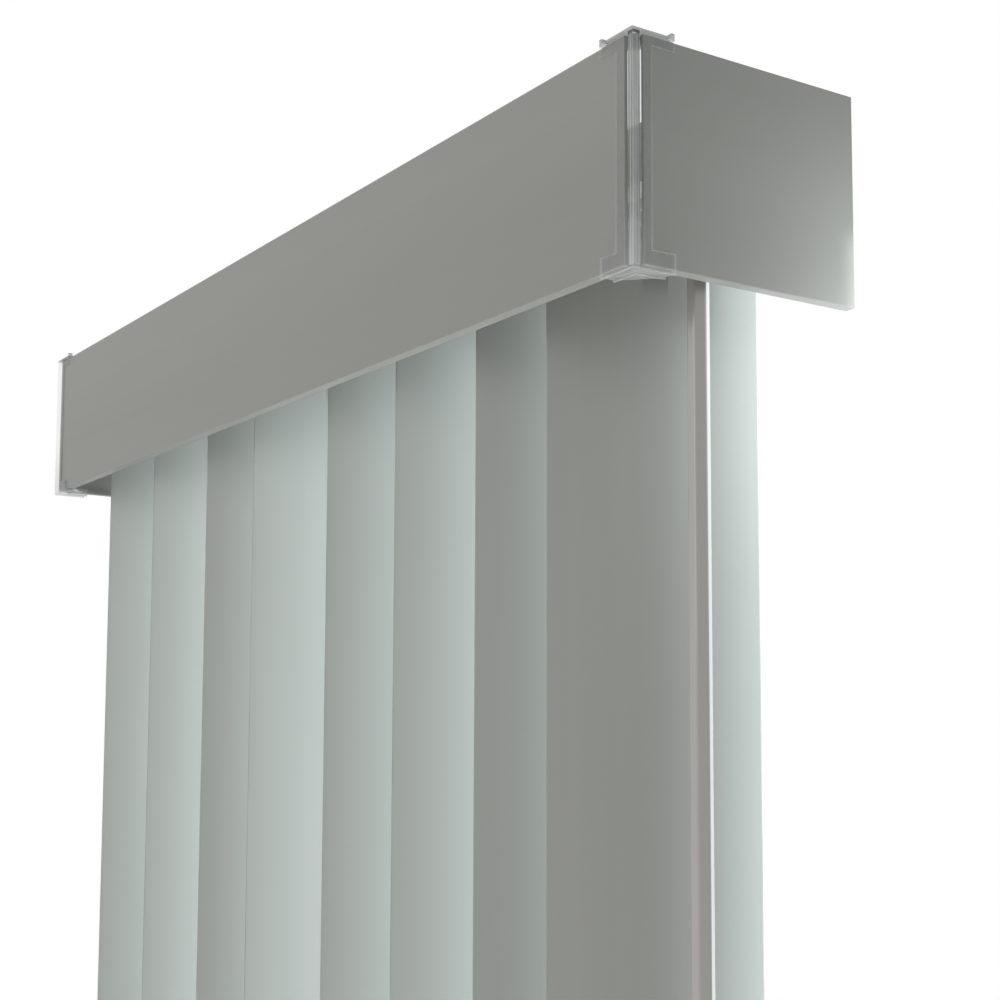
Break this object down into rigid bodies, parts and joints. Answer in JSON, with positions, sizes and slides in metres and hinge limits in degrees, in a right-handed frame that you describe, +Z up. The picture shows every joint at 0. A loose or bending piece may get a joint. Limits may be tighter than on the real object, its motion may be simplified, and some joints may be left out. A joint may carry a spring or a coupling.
{
  "type": "vertical blind",
  "caption": "Wall-mounted vertical blind: crowned PVC vanes on a wand-drawn, wand-tilted track behind a boxed valance with clear corner clips.",
  "frame": {"origin": "centre of the four wall screw holes, on the wall's face", "axes": "+X along the headrail to the wand's end, +Y back into the wall, +Z up"},
  "size_m": [0.637, 0.115, 0.917],
  "materials": {
    "vane_pvc": "satin extruded PVC",
    "valance_pvc": "satin extruded PVC",
    "clear_plastic": "clear moulded plastic",
    "rail_aluminium": "extruded, painted pale grey",
    "moulded_plastic": "moulded, white",
    "strip_steel": "rolled spring steel",
    "bracket_steel": "white powder coat",
    "wand_plastic": "glossy extruded plastic"
  },
  "bodies": {
    "headrail_assembly": {"headrail": "rail_aluminium", "end_cap_left": "moulded_plastic", "end_cap_right": "moulded_plastic", "front_valance": "valance_pvc", "return_left": "valance_pvc", "return_right": "valance_pvc", "corner_connector_left": "clear_plastic", "corner_connector_right": "clear_plastic", "wall_bracket_left": "bracket_steel", "wall_bracket_right": "bracket_steel", "headrail_clip_left": "strip_steel", "headrail_clip_right": "strip_steel", "clip_bolts": "strip_steel", "valance_clip_left": "clear_plastic", "valance_clip_middle": "clear_plastic", "valance_clip_right": "clear_plastic", "carrier_8": "moulded_plastic", "spacer_8": "strip_steel"},
    "tilt_rod": {"tilt_rod": "rail_aluminium"},
    "lead_carrier": {"carrier_1": "moulded_plastic", "wand_carrier": "moulded_plastic", "lead_link": "strip_steel", "hook_pin": "strip_steel"},
    "wand_hook": {"wand_hook": "strip_steel"},
    "wand": {"wand": "wand_plastic", "wand_collar": "wand_plastic", "wand_tip": "wand_plastic"},
    "carrier_2": {"carrier_2": "moulded_plastic", "spacer_2": "strip_steel"},
    "carrier_3": {"carrier_3": "moulded_plastic", "spacer_3": "strip_steel"},
    "carrier_4": {"carrier_4": "moulded_plastic", "spacer_4": "strip_steel"},
    "carrier_5": {"carrier_5": "moulded_plastic", "spacer_5": "strip_steel"},
    "carrier_6": {"carrier_6": "moulded_plastic", "spacer_6": "strip_steel"},
    "carrier_7": {"carrier_7": "moulded_plastic", "spacer_7": "strip_steel"},
    "vane_1": {"stem_1": "moulded_plastic", "vane_1": "vane_pvc"},
    "vane_2": {"stem_2": "moulded_plastic", "vane_2": "vane_pvc"},
    "vane_3": {"stem_3": "moulded_plastic", "vane_3": "vane_pvc"},
    "vane_4": {"stem_4": "moulded_plastic", "vane_4": "vane_pvc"},
    "vane_5": {"stem_5": "moulded_plastic", "vane_5": "vane_pvc"},
    "vane_6": {"stem_6": "moulded_plastic", "vane_6": "vane_pvc"},
    "vane_7": {"stem_7": "moulded_plastic", "vane_7": "vane_pvc"},
    "vane_8": {"stem_8": "moulded_plastic", "vane_8": "vane_pvc"}
  },
  "joints": [
    {"name": "traverse", "type": "slide", "parent": "headrail_assembly", "child": "lead_carrier", "axis": [-1, 0, 0], "range_m": [0, 0.367]},
    {"name": "carrier_2_slide", "type": "slide", "parent": "headrail_assembly", "child": "carrier_2", "axis": [-1, 0, 0], "range_m": [0, 0.33195]},
    {"name": "carrier_3_slide", "type": "slide", "parent": "headrail_assembly", "child": "carrier_3", "axis": [-1, 0, 0], "range_m": [0, 0.28003]},
    {"name": "carrier_4_slide", "type": "slide", "parent": "headrail_assembly", "child": "carrier_4", "axis": [-1, 0, 0], "range_m": [0, 0.23033]},
    {"name": "carrier_5_slide", "type": "slide", "parent": "headrail_assembly", "child": "carrier_5", "axis": [-1, 0, 0], "range_m": [0, 0.16154]},
    {"name": "carrier_6_slide", "type": "slide", "parent": "headrail_assembly", "child": "carrier_6", "axis": [-1, 0, 0], "range_m": [0, 0.11761]},
    {"name": "carrier_7_slide", "type": "slide", "parent": "headrail_assembly", "child": "carrier_7", "axis": [-1, 0, 0], "range_m": [0, 0.05547]},
    {"name": "tilt", "type": "hinge", "parent": "lead_carrier", "child": "vane_1", "pos_m": [0.2535, -0.054, -0.01], "axis": [0, 0, 1], "range_deg": [-41, 107]},
    {"name": "vane_2_tilt", "type": "hinge", "parent": "carrier_2", "child": "vane_2", "pos_m": [0.19845, -0.054, -0.01], "axis": [0, 0, 1], "range_deg": [-41, 107]},
    {"name": "vane_3_tilt", "type": "hinge", "parent": "carrier_3", "child": "vane_3", "pos_m": [0.12653, -0.054, -0.01], "axis": [0, 0, 1], "range_deg": [-41, 107]},
    {"name": "vane_4_tilt", "type": "hinge", "parent": "carrier_4", "child": "vane_4", "pos_m": [0.05683, -0.054, -0.01], "axis": [0, 0, 1], "range_deg": [-41, 107]},
    {"name": "vane_5_tilt", "type": "hinge", "parent": "carrier_5", "child": "vane_5", "pos_m": [-0.03197, -0.054, -0.01], "axis": [0, 0, 1], "range_deg": [-41, 107]},
    {"name": "vane_6_tilt", "type": "hinge", "parent": "carrier_6", "child": "vane_6", "pos_m": [-0.09589, -0.054, -0.01], "axis": [0, 0, 1], "range_deg": [-41, 107]},
    {"name": "vane_7_tilt", "type": "hinge", "parent": "carrier_7", "child": "vane_7", "pos_m": [-0.17803, -0.054, -0.01], "axis": [0, 0, 1], "range_deg": [-41, 107]},
    {"name": "vane_8_tilt", "type": "hinge", "parent": "headrail_assembly", "child": "vane_8", "pos_m": [-0.2535, -0.054, -0.01], "axis": [0, 0, 1], "range_deg": [-41, 107]},
    {"name": "rod_turn", "type": "hinge", "parent": "headrail_assembly", "child": "tilt_rod", "pos_m": [0, -0.0635, 0.0026], "axis": [1, 0, 0], "range_deg": [-164, 428]},
    {"name": "wand_swing", "type": "hinge", "parent": "lead_carrier", "child": "wand_hook", "pos_m": [0.3038, -0.0715, -0.02], "axis": [-1, 0, 0], "range_deg": [0, 30]},
    {"name": "wand_twist", "type": "hinge", "parent": "wand_hook", "child": "wand", "pos_m": [0.3038, -0.0715, -0.02], "axis": [0, 0, 1], "range_deg": [-164, 428]}
  ],
  "couplings": [
    {"joint": "carrier_2_slide", "follows": "traverse", "ratio": 0.90449},
    {"joint": "carrier_3_slide", "follows": "traverse", "ratio": 0.76302},
    {"joint": "carrier_4_slide", "follows": "traverse", "ratio": 0.62759},
    {"joint": "carrier_5_slide", "follows": "traverse", "ratio": 0.44015},
    {"joint": "carrier_6_slide", "follows": "traverse", "ratio": 0.32045},
    {"joint": "carrier_7_slide", "follows": "traverse", "ratio": 0.15115},
    {"joint": "vane_2_tilt", "follows": "tilt", "ratio": 1},
    {"joint": "vane_3_tilt", "follows": "tilt", "ratio": 1},
    {"joint": "vane_4_tilt", "follows": "tilt", "ratio": 1},
    {"joint": "vane_5_tilt", "follows": "tilt", "ratio": 1},
    {"joint": "vane_6_tilt", "follows": "tilt", "ratio": 1},
    {"joint": "vane_7_tilt", "follows": "tilt", "ratio": 1},
    {"joint": "vane_8_tilt", "follows": "tilt", "ratio": 1},
    {"joint": "rod_turn", "follows": "tilt", "ratio": 4},
    {"joint": "wand_twist", "follows": "tilt", "ratio": 4}
  ]
}
